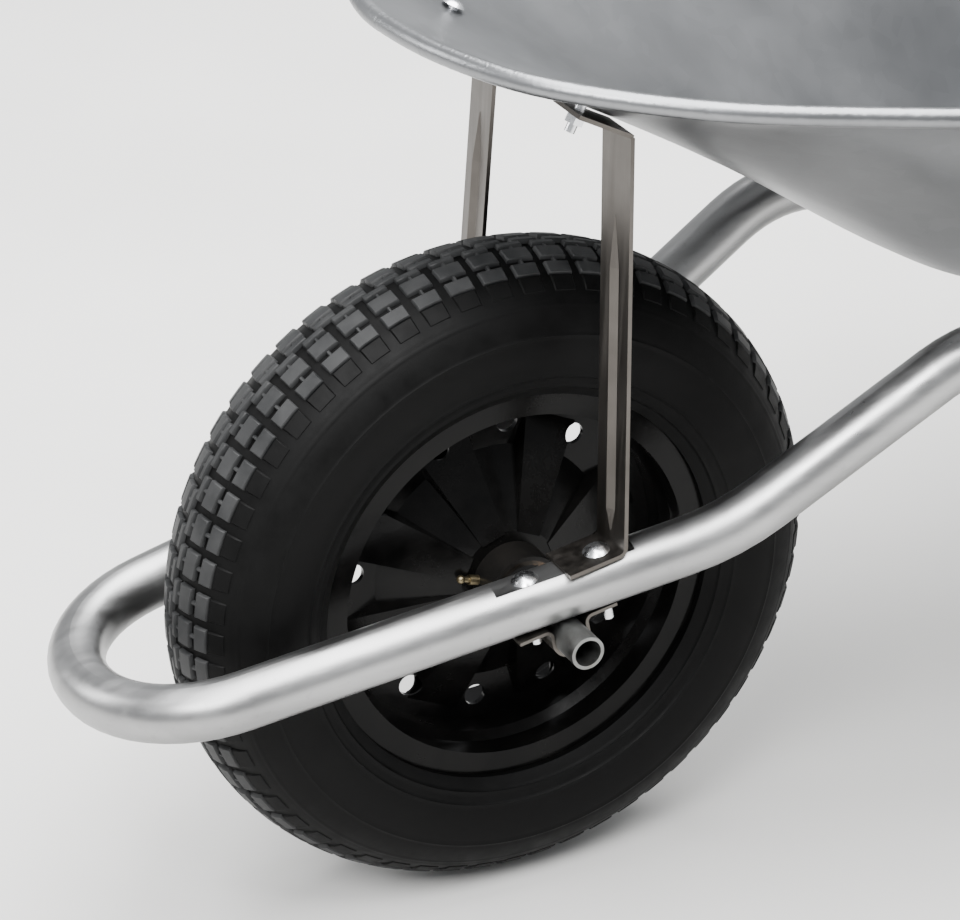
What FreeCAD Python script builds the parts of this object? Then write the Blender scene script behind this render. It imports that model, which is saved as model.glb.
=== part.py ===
"""Wheelbarrow with one air-filled wheel, a bent pipe frame and a pressed steel pan.

Millimetres. +X is the direction of travel (wheel end), +Y is the left side, +Z is up.
The origin is on the ground, at the middle of the object's length and width.
"""
import FreeCAD, Part
import math
import os
import Sketcher
from FreeCAD import Placement, Rotation, Vector

doc = FreeCAD.newDocument("wheelbarrow")

# ---------------------------------------------------------------- driving dimensions

DIMENSIONS = [
    ("axle_forward", 457.8, "axle centre ahead of the origin"),
    ("tyre_radius", 200.0, "outer radius of the tyre"),
    ("tyre_half_width", 52.5, "half of the tyre's section width"),
    ("tyre_section_height", 48.4, "from the widest point of the tyre to its crown"),
    ("tyre_wall", 7.0, "rubber thickness of the casing"),
    ("bead_seat_radius", 110.0, "outer radius of the rim where the tyre sits"),
    ("rim_lip_radius", 122.0, "outer radius of the rim's flanges"),
    ("rim_half_width", 38.0, "half of the distance between the flanges"),
    ("rim_gauge", 2.0, "sheet thickness of the rim"),
    ("disc_radius", 104.0, "outer radius of the wheel disc"),
    ("disc_gauge", 1.6, "sheet thickness of one disc"),
    ("disc_cone_radius", 74.0, "where the disc's cone starts"),
    ("disc_cone_height", 25.0, "height of the cone at the hub"),
    ("disc_neck_radius", 30.0, "radius of the cone at the hub"),
    ("rib_inner_width", 20.0, "width of a pressed rib at the hub"),
    ("rib_outer_width", 36.0, "width of a pressed rib at the ring of holes"),
    ("hole_circle_radius", 88.5, "radius of the ring of holes"),
    ("hole_radius", 6.6, "radius of each hole in the disc"),
    ("hub_radius", 23.5, "outer radius of the hub tube"),
    ("hub_half_length", 48.0, "half length of the hub tube"),
    ("bearing_radius", 21.0, "outer radius of the ball bearings"),
    ("bearing_width", 12.0, "width of the ball bearings"),
    ("axle_radius", 10.0, "outer radius of the axle tube"),
    ("axle_wall", 2.0, "wall of the axle tube"),
    ("axle_half_length", 126.0, "half length of the axle tube"),
    ("pipe_radius", 16.7, "outer radius of the frame pipe"),
    ("pipe_wall", 2.0, "wall of the frame pipe"),
    ("half_track", 96.7, "frame pipe centre to the middle plane, above the axle"),
    ("toe_angle", 6.3, "how much each side of the frame closes towards the front"),
    ("nose_pitch", 11.0, "how much the front of the frame slopes down"),
    ("loop_reach", 257.0, "from the axle to the tip of the front loop"),
    ("clamp_flat", 2.2, "depth of the flat pressed on the pipe over the axle"),
    ("brace_width", 30.0, "width of the brace strips"),
    ("brace_gauge", 2.5, "thickness of the brace strips"),
    ("strap_width", 18.0, "width of the axle straps"),
    ("strap_gauge", 2.0, "thickness of the axle straps"),
    ("small_bolt_radius", 3.0, "M6 bolts"),
    ("large_bolt_radius", 4.0, "M8 bolts"),
    ("strap_shoulder", 3.0, "inner radius of the bend between the strap's saddle and its ears"),
    ("strap_bolt_offset", 22.0, "strap bolts, from the axle along the pipe"),
    ("leg_radius", 12.5, "outer radius of the leg tubes"),
    ("leg_wall", 1.5, "wall of the leg tubes"),
    ("foot_flat", 0.7, "depth of the flat worn under each foot"),
    ("tab_gauge", 5.0, "thickness of the flattened leg ends"),
    ("grip_radius", 20.5, "outer radius of the hand grips"),
    ("grip_length", 125.0, "length of the hand grips"),
    ("pan_gauge", 1.5, "sheet thickness of the pan"),
    ("bead_radius", 5.6, "outer radius of the pan's rolled rim"),
    ("wire_radius", 4.0, "radius of the wire inside the rolled rim"),
    ("running_gap", 0.02, "radial clearance of the bearing on the axle"),
]

sheet = doc.addObject("Spreadsheet::Sheet", "dims")
for row, (alias, size, note) in enumerate(DIMENSIONS, start=1):
    sheet.set("A%d" % row, alias)
    sheet.set("B%d" % row, str(size))
    sheet.set("C%d" % row, note)
    sheet.setAlias("B%d" % row, alias)
doc.recompute()


def size(alias):
    """A driving dimension, read back from the sheet."""
    return float(sheet.get(alias))


UP = Vector(0, 0, 1)
WHEEL_CENTRE = Vector(size("axle_forward"), 0, size("tyre_radius"))
ALONG_Y = Rotation(Vector(1, 0, 0), -90)
SIDES = (("left", 1), ("right", -1))
sub_parts = []


def keep(obj, node):
    """Marks an object as a finished sub-part, whose file is named after it."""
    obj.Label = node
    sub_parts.append(obj)
    return obj


def mirrored(vector, side):
    """The same point or direction on the left (1) or the right (-1)."""
    return Vector(vector.x, vector.y * side, vector.z)


def rotation_to(direction):
    """Turns an object's own Z axis into a direction."""
    return Rotation(UP, direction)


# ---------------------------------------------------------------- object helpers

def bind(obj, **expressions):
    for prop, expression in expressions.items():
        obj.setExpression(prop, expression)
    return obj


def cylinder(name, radius, height, placement=None):
    obj = bind(doc.addObject("Part::Cylinder", name), Radius=radius, Height=height)
    obj.Placement = placement or Placement()
    return obj


def box(name, length, width, height, placement=None):
    obj = bind(doc.addObject("Part::Box", name), Length=length, Width=width, Height=height)
    obj.Placement = placement or Placement()
    return obj


def cut(name, base, tool):
    obj = doc.addObject("Part::Cut", name)
    obj.Base = base
    obj.Tool = tool
    return obj


def fuse(name, shapes):
    obj = doc.addObject("Part::MultiFuse", name)
    obj.Shapes = shapes
    return obj


def group(name, solids):
    obj = doc.addObject("Part::Compound", name)
    obj.Links = solids
    return obj


def plain_shape(name, shape):
    obj = doc.addObject("Part::Feature", name)
    obj.Shape = shape
    return obj


def ring(name, outer, inner, height, placement):
    """A round ring: outer and inner radius and height are expressions."""
    body = cylinder(name + "_body", outer, height, placement)
    bore = cylinder(name + "_bore", inner, height, placement)
    return cut(name, body, bore)


def origin_plane(body, role):
    return [item for item in body.Origin.OriginFeatures if item.Role == role][0]


def outline_sketch(body, name, role, points):
    """A closed outline of straight lines. Each point is a pair of expressions."""
    sketch = body.newObject("Sketcher::SketchObject", name)
    sketch.AttachmentSupport = [(origin_plane(body, role), "")]
    sketch.MapMode = "FlatFace"
    at = [Vector(float(sheet.evalExpression(u)), float(sheet.evalExpression(v)), 0) for u, v in points]
    for index, start in enumerate(at):
        sketch.addGeometry(Part.LineSegment(start, at[(index + 1) % len(at)]), False)
    for index in range(len(at)):
        follower = (index + 1) % len(at)
        sketch.addConstraint(Sketcher.Constraint("Coincident", index, 2, follower, 1))
    for index, (u, v) in enumerate(points):
        place_point(sketch, index, "DistanceX", u, at[index].x)
        place_point(sketch, index, "DistanceY", v, at[index].y)
    return sketch


def place_point(sketch, index, kind, expression, length):
    """Fixes one coordinate of an outline's point to an expression."""
    if abs(length) < 1e-9:
        axis = -2 if kind == "DistanceX" else -1
        sketch.addConstraint(Sketcher.Constraint("PointOnObject", index, 1, axis))
        return
    number = sketch.addConstraint(Sketcher.Constraint(kind, -1, 1, index, 1, length))
    sketch.setExpression("Constraints[%d]" % number, expression)


def revolved_body(name, points, placement):
    """Outline points are (radius, height), turned round the body's Y axis."""
    body = doc.addObject("PartDesign::Body", name)
    sketch = outline_sketch(body, name + "_outline", "XY_Plane", points)
    turn = body.newObject("PartDesign::Revolution", name + "_turn")
    turn.Profile = sketch
    turn.ReferenceAxis = (sketch, ["V_Axis"])
    turn.Angle = 360.0
    sketch.Visibility = False
    body.Placement = placement
    return body



# ---------------------------------------------------------------- places on the frame

PITCH = math.radians(size("nose_pitch"))
TOE = math.radians(size("toe_angle"))
PIPE_RADIUS = size("pipe_radius")
SADDLE_HEIGHT = (size("axle_radius") + PIPE_RADIUS + 0.05) / math.cos(PITCH)
CLAMP = WHEEL_CENTRE + Vector(0, size("half_track"), SADDLE_HEIGHT)
FORWARD = Vector(math.cos(PITCH), -math.tan(TOE), -math.sin(PITCH)).normalize()
CLAMP_UP = Vector(math.sin(PITCH), 0, math.cos(PITCH))
ACROSS = CLAMP_UP.cross(FORWARD)

FIRST_BEND = CLAMP - FORWARD * 100.8
SECOND_BEND = WHEEL_CENTRE + Vector(-247.0, 124.5, 139.7)
REAR_FALL = math.radians(3.0)
REAR_FLARE = math.radians(7.5)
REARWARD = Vector(-math.cos(REAR_FLARE), math.sin(REAR_FLARE), -math.tan(REAR_FALL)).normalize()
HANDLE_BEND = SECOND_BEND + REARWARD * 520.0
HANDLE_RISE = math.radians(27.0)
HANDLE_FLARE = math.radians(4.0)
HANDLE_WAY = Vector(-math.cos(HANDLE_FLARE), math.sin(HANDLE_FLARE), math.tan(HANDLE_RISE)).normalize()
HANDLE_END = HANDLE_BEND + HANDLE_WAY * 462.0


def bent_edges(corners, radii):
    """Straight edges between corners, with a tangent arc at each inner corner."""
    edges = []
    start = corners[0]
    for before, corner, after, radius in zip(corners, corners[1:], corners[2:], radii):
        back = (before - corner).normalize()
        ahead = (after - corner).normalize()
        half_turn = (math.pi - back.getAngle(ahead)) / 2
        reach = radius * math.tan(half_turn)
        first = corner + back * reach
        last = corner + ahead * reach
        inward = (back + ahead).normalize()
        middle = corner + inward * (radius / math.cos(half_turn) - radius)
        edges.append(Part.LineSegment(start, first).toShape())
        edges.append(Part.Arc(first, middle, last).toShape())
        start = last
    edges.append(Part.LineSegment(start, corners[-1]).toShape())
    return edges


def swept_pipe(corners, radii, radius):
    """A solid round bar along bent_edges."""
    path = Part.Wire(bent_edges(corners, radii))
    way = (corners[1] - corners[0]).normalize()
    section = Part.Wire([Part.Circle(corners[0], way, radius).toShape()])
    return path.makePipeShell([section], True, False)


# ---------------------------------------------------------------- frame pipe

def frame_corners():
    """The pipe's centre line, from the left handle round the wheel to the right."""
    ahead = Vector(math.cos(PITCH), 0, -math.sin(PITCH))
    tip = CLAMP + ahead * size("loop_reach")
    corner = Vector(tip.x, CLAMP.y - math.tan(TOE) * size("loop_reach"), tip.z)
    left = [HANDLE_END, HANDLE_BEND, SECOND_BEND, FIRST_BEND, corner]
    return left + [mirrored(point, -1) for point in reversed(left)]


def loop_bend_radius():
    """The largest bend that fits both front corners, less a short straight."""
    corners = frame_corners()
    side = (corners[3] - corners[4]).normalize()
    across = Vector(0, -1, 0)
    half_turn = (math.pi - side.getAngle(across)) / 2
    return (corners[4].y - 1.0) / math.tan(half_turn)


BEND_RADII = [170.0, 90.0, 150.0]


def frame_solid(radius, flat_level):
    """The pipe as a solid bar, flattened above the axle at a height over its centre."""
    corners = frame_corners()
    loop = loop_bend_radius()
    bar = swept_pipe(corners, BEND_RADII + [loop, loop] + BEND_RADII[::-1], radius)
    for side in (1, -1):
        press = Part.makeBox(84.0, 60.0, 40.0, Vector(-42.0, -30.0, flat_level))
        press.Placement = clamp_placement(side).multiply(press.Placement)
        bar = bar.cut(press)
    return bar


def clamp_placement(side, along=0.0, over=0.0):
    """Local X along the pipe, Y across it, Z away from the axle, over the axle."""
    forward = mirrored(FORWARD, side)
    across = mirrored(ACROSS, side) * side
    origin = mirrored(CLAMP, side) + forward * along + mirrored(CLAMP_UP, side) * over
    return Placement(origin, Rotation(forward, across, mirrored(CLAMP_UP, side), "XYZ"))


STRAP_BOLTS = (size("strap_bolt_offset"), -size("strap_bolt_offset"))
FLOOR_BOLTS = (78.0, 330.0)
LEG_BOLTS = (235.0, 445.0)


def rear_point(along, side):
    """A point on the pipe's centre line behind the second bend."""
    return mirrored(SECOND_BEND + REARWARD * along, side)


def make_frame_tube():
    wall = size("pipe_wall")
    flat = PIPE_RADIUS - size("clamp_flat")
    tube = frame_solid(PIPE_RADIUS, flat).cut(frame_solid(PIPE_RADIUS - wall, flat - wall))
    hole = 0.2
    for _, side in SIDES:
        for along in STRAP_BOLTS:
            place = clamp_placement(side, along, -30.0)
            drill = Part.makeCylinder(size("small_bolt_radius") + hole, 60.0)
            drill.Placement = place
            tube = tube.cut(drill)
        for along in FLOOR_BOLTS:
            foot = rear_point(along, side) - Vector(0, 0, 30)
            tube = tube.cut(Part.makeCylinder(size("large_bolt_radius") + hole, 60.0, foot, UP))
        for along in LEG_BOLTS:
            start = rear_point(along, side) - outward(side) * 30
            tube = tube.cut(Part.makeCylinder(size("large_bolt_radius") + hole, 60.0, start, outward(side)))
    return keep(plain_shape("frame_pipe", tube), "frame_tube")


def outward(side):
    """Level, square to the pipe behind the second bend, away from the middle."""
    return Vector(math.sin(REAR_FLARE), math.cos(REAR_FLARE) * side, 0)


# ---------------------------------------------------------------- fasteners

def number(expression):
    """The value of an expression over the sheet."""
    return float(sheet.evalExpression(expression))


def below(placement, drop):
    """A placement moved down its own Z axis."""
    return placement.multiply(Placement(Vector(0, 0, -drop), Rotation()))


def dome_bolt(name, radius, length, head, placement):
    """A bolt with a low round head. Its shank starts at the placement and runs down."""
    shank = cylinder(name + "_shank", radius, length, below(placement, number(length)))
    dome = doc.addObject("Part::Sphere", name + "_head")
    bind(dome, Radius="1.25 * " + head)
    dome.Angle1 = 36.87
    dome.Placement = below(placement, 0.75 * number(head))
    return fuse(name, [shank, dome])


def hex_nut(name, bore, across_flats, height, placement):
    """A hexagonal nut that hangs below the placement."""
    seat = below(placement, number(height))
    prism = bind(doc.addObject("Part::Prism", name + "_hex"), Height=height)
    prism.Polygon = 6
    bind(prism, Circumradius="(%s) / 2 / cos(30)" % across_flats)
    prism.Placement = seat
    hole = cylinder(name + "_bore", bore, height, seat)
    return cut(name, prism, hole)


WALL_HEAD_RADIUS = 7.0
SMALL_NUT = ("dims.small_bolt_radius + 0.05", "10", "5")
LARGE_NUT = ("dims.large_bolt_radius + 0.05", "13", "6.5")


# ---------------------------------------------------------------- wheel

WHEEL_PLACE = Placement(WHEEL_CENTRE, Rotation())


def on_wheel(angle, radius, offset):
    """A point on the wheel. Angles run from straight ahead towards the top."""
    turn = math.radians(angle)
    return WHEEL_CENTRE + Vector(radius * math.cos(turn), offset, radius * math.sin(turn))


def disc_placement(offset):
    """Local Z along the axle, starting at an offset from the middle plane."""
    return Placement(WHEEL_CENTRE + Vector(0, offset, 0), ALONG_Y)


def oval_ring(name, radial, axial):
    """A solid ring with an oval section, turned round the axle."""
    oval = bind(doc.addObject("Part::Ellipse", name + "_oval"), MajorRadius=axial, MinorRadius=radial)
    rise = Vector(0, 0, size("tyre_radius") - size("tyre_section_height"))
    upright = Rotation(Vector(0, 1, 0), Vector(0, 0, 1), Vector(1, 0, 0), "XYZ")
    oval.Placement = Placement(WHEEL_CENTRE + rise, upright)
    face = doc.addObject("Part::Face", name + "_section")
    face.Sources = [oval]
    turn = doc.addObject("Part::Revolution", name)
    turn.Source = face
    turn.Axis = Vector(0, 1, 0)
    turn.Base = WHEEL_CENTRE
    turn.Angle = 360.0
    turn.Solid = True
    return turn


def make_tyre():
    casing = oval_ring("tyre_outside", "dims.tyre_section_height", "dims.tyre_half_width")
    inside = oval_ring(
        "tyre_inside",
        "dims.tyre_section_height - dims.tyre_wall",
        "dims.tyre_half_width - dims.tyre_wall",
    )
    seat = cylinder("tyre_seat", "dims.bead_seat_radius + 0.1", "120", disc_placement(-60))
    clear = "dims.rim_lip_radius + 0.1"
    beyond = "60 - dims.rim_half_width + 2.1"
    lip = size("rim_half_width") - 2.1
    left_lip = cylinder("tyre_left_lip", clear, beyond, disc_placement(lip))
    right_lip = cylinder("tyre_right_lip", clear, beyond, disc_placement(-60))
    mouth = cylinder("tyre_mouth", "dims.bead_seat_radius + 5", "42", disc_placement(-21))
    hollow = fuse("tyre_hollow", [inside, seat, mouth, left_lip, right_lip])
    keep(cut("tyre_casing", casing, hollow), "tyre")

    tube = oval_ring("tube_outside", "dims.tyre_section_height - 9.4", "dims.tyre_half_width - 9.5")
    air = oval_ring("tube_inside", "dims.tyre_section_height - 11.4", "dims.tyre_half_width - 11.5")
    keep(cut("tube_skin", tube, air), "inner_tube")


VALVE_ANGLE = 36.8
VALVE_OFFSET = -14.0


def radial_placement(angle, radius, offset):
    """Local Z points towards the axle."""
    inward = Vector(-math.cos(math.radians(angle)), 0, -math.sin(math.radians(angle)))
    return Placement(on_wheel(angle, radius, offset), rotation_to(inward))


def make_rim():
    flange = "dims.rim_half_width"
    inner_flange = "dims.rim_half_width - dims.rim_gauge"
    lip = "dims.rim_lip_radius"
    seat = "dims.bead_seat_radius"
    seat_inside = "dims.bead_seat_radius - dims.rim_gauge"
    well = "dims.disc_radius + dims.rim_gauge"
    left_tyre_side = [(lip, inner_flange), (seat, inner_flange), (seat, "24"), (well, "18")]
    left_hub_side = [
        ("dims.disc_radius", "17.2"), (seat_inside, "23.2"), (seat_inside, flange), (lip, flange),
    ]
    right_tyre_side = [(radius, "-(%s)" % height) for radius, height in reversed(left_tyre_side)]
    right_hub_side = [(radius, "-(%s)" % height) for radius, height in reversed(left_hub_side)]
    outline = left_tyre_side + right_tyre_side + right_hub_side + left_hub_side
    band = revolved_body("rim_band", outline, WHEEL_PLACE)
    place = radial_placement(VALVE_ANGLE, size("disc_radius") + 6, VALVE_OFFSET)
    hole = cylinder("rim_valve_hole", "5.2", "12", place)
    keep(cut("rim_with_hole", band, hole), "rim")

    place = radial_placement(VALVE_ANGLE, size("disc_radius") + 8, VALVE_OFFSET)
    stem = cylinder("valve_stem_body", "5", "25", place)
    thread = cylinder("valve_stem_thread", "3.8", "33", place)
    keep(fuse("valve_stem_whole", [stem, thread]), "valve_stem")
    place = radial_placement(VALVE_ANGLE, size("disc_radius") - 19, VALVE_OFFSET)
    keep(ring("valve_cap_whole", "5.2", "3.85", "9", place), "valve_cap")


def rib_solid(angle, side, spread, lift):
    """A flat-topped pressed rib that runs from the hub out to the flat of the disc."""
    sections = []
    for radius, wide, height in (
        (size("disc_neck_radius") - 1, size("rib_inner_width"), size("disc_cone_height") + 1),
        (size("hole_circle_radius") + 6, size("rib_outer_width"), 0.3),
    ):
        foot = wide / 2 + spread
        top = foot - 2.5 - 0.06 * height
        corners = [(foot, 0), (top, height + lift), (-top, height + lift), (-foot, 0), (foot, 0)]
        sections.append(Part.makePolygon([Vector(radius, y, z) for y, z in corners]))
    solid = Part.makeLoft(sections, True, True)
    tilt = Rotation(Vector(1, 0, 0), -90 * side)
    turn = Rotation(Vector(0, 1, 0), -angle)
    start = WHEEL_CENTRE + Vector(0, 0.05 * side, 0)
    solid.Placement = Placement(start, turn.multiply(tilt))
    return solid


RIB_ANGLES = [24.0 + 45.0 * index for index in range(8)]
HOLE_ANGLES = [6.8 + 30.0 * index for index in range(12)]


def make_disc(name, side):
    """One pressed half of the wheel's centre: a flat ring, a cone and eight ribs."""
    gauge = size("disc_gauge")
    place = Placement(WHEEL_CENTRE + Vector(0, 0.05 * side, 0), Rotation(Vector(1, 0, 0), -90 * side))
    plate = cylinder(name + "_plate", "dims.disc_radius - 0.05", "dims.disc_gauge", place)
    cone = bind(
        doc.addObject("Part::Cone", name + "_cone"),
        Radius1="dims.disc_cone_radius",
        Radius2="dims.disc_neck_radius",
        Height="dims.disc_cone_height",
    )
    cone.Placement = place
    skin = bind(
        doc.addObject("Part::Cone", name + "_skin"),
        Radius1="dims.disc_cone_radius + 2 * dims.disc_gauge",
        Radius2="dims.disc_neck_radius + dims.disc_gauge / 2",
        Height="dims.disc_cone_height + dims.disc_gauge",
    )
    skin.Placement = place
    outer_ribs = [plain_shape("%s_rib_%d" % (name, index), rib_solid(angle, side, gauge, gauge))
                  for index, angle in enumerate(RIB_ANGLES)]
    inner_ribs = [plain_shape("%s_dent_%d" % (name, index), rib_solid(angle, side, 0, 0))
                  for index, angle in enumerate(RIB_ANGLES)]
    outside = fuse(name + "_outside", [plate, skin] + outer_ribs)
    bore = cylinder(name + "_bore", "dims.hub_radius + 0.05", "40", place)
    holes = []
    for index, angle in enumerate(HOLE_ANGLES):
        start = Placement(on_wheel(angle, size("hole_circle_radius"), -20), ALONG_Y)
        holes.append(cylinder("%s_hole_%d" % (name, index), "dims.hole_radius", "40", start))
    inside = fuse(name + "_inside", [cone, bore] + inner_ribs + holes)
    return cut(name + "_pressing", outside, inside)


def make_hub():
    bearing = "dims.bearing_radius"
    seat = "dims.hub_half_length - dims.bearing_width"
    half = "dims.hub_half_length"
    outline = [
        ("dims.hub_radius", half), (bearing, half), (bearing, seat), ("17", seat),
        ("17", "-(%s)" % seat), (bearing, "-(%s)" % seat),
        (bearing, "-" + half), ("dims.hub_radius", "-" + half),
    ]
    keep(revolved_body("hub_barrel", outline, WHEEL_PLACE), "hub_tube")

    start = size("hub_half_length") - size("bearing_width")
    outer_rings = []
    inner_rings = []
    seals = []
    balls = []
    for label, side in SIDES:
        base = start if side > 0 else -size("hub_half_length")
        place = disc_placement(base)
        outer_rings.append(ring(label + "_outer_ring", bearing, "18.2", "dims.bearing_width", place))
        bore = "dims.axle_radius + dims.running_gap"
        inner = ring(label + "_inner_ring", "12.8", bore, "dims.bearing_width", place)
        inner_rings.append(inner)
        for end, shift in (("near", 0.0), ("far", size("bearing_width") - 1.0)):
            place = disc_placement(base + shift)
            seals.append(ring("%s_%s_seal" % (label, end), "18.15", "12.85", "1", place))
        for index in range(8):
            ball = doc.addObject("Part::Sphere", "%s_ball_%d" % (label, index))
            ball.Radius = 2.6
            middle = (size("hub_half_length") - size("bearing_width") / 2) * side
            ball.Placement.Base = on_wheel(45.0 * index, 15.5, middle)
            balls.append(ball)
    keep(group("outer_rings", outer_rings), "bearing_outer_rings")
    keep(group("inner_rings", inner_rings), "bearing_inner_rings")
    keep(group("seals", seals), "bearing_seals")
    keep(group("balls", balls), "bearing_balls")

    outward_from_hub = radial_placement(195.0, -(size("hub_radius") - 2), 31.0)
    body = cylinder("nipple_body", "3", "8", outward_from_hub)
    neck = cylinder("nipple_neck", "1.8", "12", outward_from_hub)
    tip = doc.addObject("Part::Sphere", "nipple_tip")
    tip.Radius = 2.6
    tip.Placement.Base = on_wheel(15.0, size("hub_radius") + 11, 31.0)
    stem = fuse("nipple_whole", [body, neck, tip])
    clear = cylinder("nipple_clear", "dims.hub_radius + 0.02", "20", disc_placement(21.0))
    keep(cut("nipple_on_hub", stem, clear), "grease_nipple")


# ---------------------------------------------------------------- axle and straps

def make_axle():
    place = disc_placement(-size("axle_half_length"))
    length = "2 * dims.axle_half_length"
    bore = "dims.axle_radius - dims.axle_wall"
    keep(ring("axle_pipe", "dims.axle_radius", bore, length, place), "axle_tube")
    spacers = []
    for label, side in SIDES:
        start = size("hub_half_length") + 0.1
        place = disc_placement(start if side > 0 else -84.0)
        reach = "83.9 - dims.hub_half_length"
        spacers.append(ring(label + "_spacer", "12.5", "dims.axle_radius + 0.05", reach, place))
    keep(group("spacers", spacers), "axle_spacers")


def make_strap(name, side):
    """A strip bent under the axle, with a flat ear under the pipe on each side."""
    middle = WHEEL_CENTRE + Vector(0, side * size("half_track") - size("strap_width") / 2, 0)
    frame = Placement(middle, Rotation(Vector(0, 1, 0), math.degrees(PITCH)))
    inner = size("axle_radius") + 0.05
    outer = inner + size("strap_gauge")
    under = size("axle_radius") - size("strap_gauge")
    shoulder = size("strap_shoulder")
    reach = size("strap_bolt_offset") + 9.0

    def arc(centre_x, centre_z, radius, start, end):
        at = [
            Vector(centre_x + radius * math.cos(math.radians(angle)), 0,
                   centre_z + radius * math.sin(math.radians(angle)))
            for angle in (start, (start + end) / 2, end)
        ]
        return Part.Arc(*at).toShape()

    def line(x1, z1, x2, z2):
        return Part.LineSegment(Vector(x1, 0, z1), Vector(x2, 0, z2)).toShape()

    bend = shoulder + size("strap_gauge")
    level = size("axle_radius") - bend
    turn = inner + bend
    ridge = size("axle_radius")
    outline = [
        arc(0, 0, inner, -180, 0),
        line(inner, 0, inner, level),
        arc(turn, level, bend, 180, 90),
        line(turn, ridge, reach, ridge),
        line(reach, ridge, reach, under),
        line(reach, under, turn, under),
        arc(turn, level, shoulder, 90, 180),
        line(outer, level, outer, 0),
        arc(0, 0, outer, 0, -180),
        line(-outer, 0, -outer, level),
        arc(-turn, level, shoulder, 0, 90),
        line(-turn, under, -reach, under),
        line(-reach, under, -reach, ridge),
        line(-reach, ridge, -turn, ridge),
        arc(-turn, level, bend, 90, 0),
        line(-inner, level, -inner, 0),
    ]
    strap = Part.Face(Part.Wire(outline)).extrude(Vector(0, size("strap_width"), 0))
    strap.Placement = frame
    for offset in STRAP_BOLTS:
        hole = Part.makeCylinder(size("small_bolt_radius") + 0.1, 40.0)
        hole.Placement = clamp_placement(side, offset, -40)
        strap = strap.cut(hole)
    return plain_shape(name + "_bent", strap)


# ---------------------------------------------------------------- pan

# Half outline of the rim, forward and left of the wheel's centre. The rim lies in a tilted plane.
RIM_POINTS = [
    (64, 0), (59, 42), (46, 82), (20, 122), (-40, 165), (-120, 193), (-260, 224),
    (-420, 252), (-560, 272), (-690, 282), (-790, 235), (-830, 100), (-835, 0),
]
RIM_HEIGHT = 330.0
RIM_RISE = 0.10
# Edge of the flat floor, forward and left.
FLOOR_POINTS = [
    (-248, 0), (-256, 40), (-278, 80), (-328, 115), (-400, 150), (-470, 170), (-540, 180),
    (-610, 190), (-680, 197), (-735, 185), (-765, 140), (-780, 70), (-782, 0),
]
BEAD_LIFT = 6.2
FLOOR_GAP = 0.25


def whole_ring(half):
    """Adds the mirrored half of a ring of points that starts and ends on the middle plane."""
    return half + [Vector(point.x, -point.y, point.z) for point in reversed(half[1:-1])]


def floor_height(forward):
    """Underside of the pan's floor, which lies on the frame's two pipes."""
    crest = SECOND_BEND.z + (PIPE_RADIUS + FLOOR_GAP) / math.cos(REAR_FALL)
    return crest + math.tan(REAR_FALL) / math.cos(REAR_FLARE) * (forward - SECOND_BEND.x)


def rim_ring():
    lift = size("tyre_radius")
    half = []
    for x, y in RIM_POINTS:
        half.append(Vector(x + size("axle_forward"), y, lift + RIM_HEIGHT + RIM_RISE * x))
    return whole_ring(half)


def floor_ring():
    half = []
    for x, y in FLOOR_POINTS:
        forward = x + size("axle_forward")
        half.append(Vector(forward, y, floor_height(forward)))
    return whole_ring(half)


def ring_tangent(ring_points, index):
    following = ring_points[(index + 1) % len(ring_points)]
    return (following - ring_points[index - 1]).normalize()


def outward_normals(ring_points):
    """Level directions that point out of a ring, one at each point."""
    normals = []
    for index in range(len(ring_points)):
        along = ring_tangent(ring_points, index)
        normals.append(Vector(along.y, -along.x, 0).normalize())
    return normals


def bead_ring(angle, radius):
    """A ring of points on the rolled rim, at an angle round its section."""
    rim = rim_ring()
    turn = math.radians(angle)
    points = []
    for point, normal in zip(rim, outward_normals(rim)):
        centre = point + Vector(0, 0, BEAD_LIFT)
        points.append(centre + normal * (radius * math.cos(turn)) + UP * (radius * math.sin(turn)))
    return points


def wall_ring(upper, lower, share):
    """A ring part of the way down the wall, which is a little steeper near the floor."""
    fall = share ** 1.15
    points = []
    for high, low in zip(upper, lower):
        level = high.z + (low.z - high.z) * fall
        points.append(Vector(high.x + (low.x - high.x) * share, high.y + (low.y - high.y) * share, level))
    return points


def inner_ring(rings, row):
    """Moves a ring of the outer wall inwards by the sheet's thickness."""
    points = []
    for index, point in enumerate(rings[row]):
        along = ring_tangent(rings[row], index)
        climb = rings[row - 1][index] - rings[row + 1][index]
        normal = along.cross(climb).normalize()
        if normal.z < 0:
            normal = normal * -1
        points.append(point + normal * size("pan_gauge"))
    return points


def ring_wire(points):
    """A smooth closed curve through a ring of points."""
    shared = [float(index) for index in range(len(points) + 1)]
    curve = Part.BSplineCurve()
    curve.interpolate(Points=points, PeriodicFlag=True, Parameters=shared)
    return Part.Wire([curve.toShape()])


WALL_SHARES = (0.09, 0.185, 0.44, 0.70)
BEAD_OUTER_START = -115.0
BEAD_INNER_END = 220.0


def outer_rings():
    rim = bead_ring(BEAD_OUTER_START, size("bead_radius"))
    floor = floor_ring()
    return [rim] + [wall_ring(rim, floor, share) for share in WALL_SHARES] + [floor]


def inner_rings():
    rings = outer_rings()
    rim = bead_ring(BEAD_INNER_END, size("bead_radius"))
    floor = [point - normal * 0.6 for point, normal in zip(rings[-1], outward_normals(rings[-1]))]
    for point in floor:
        point.z = floor_height(point.x) + size("pan_gauge")
    middle = [inner_ring(rings, row) for row in range(1, len(rings) - 1)]
    return [rim] + middle + [floor]


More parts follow.
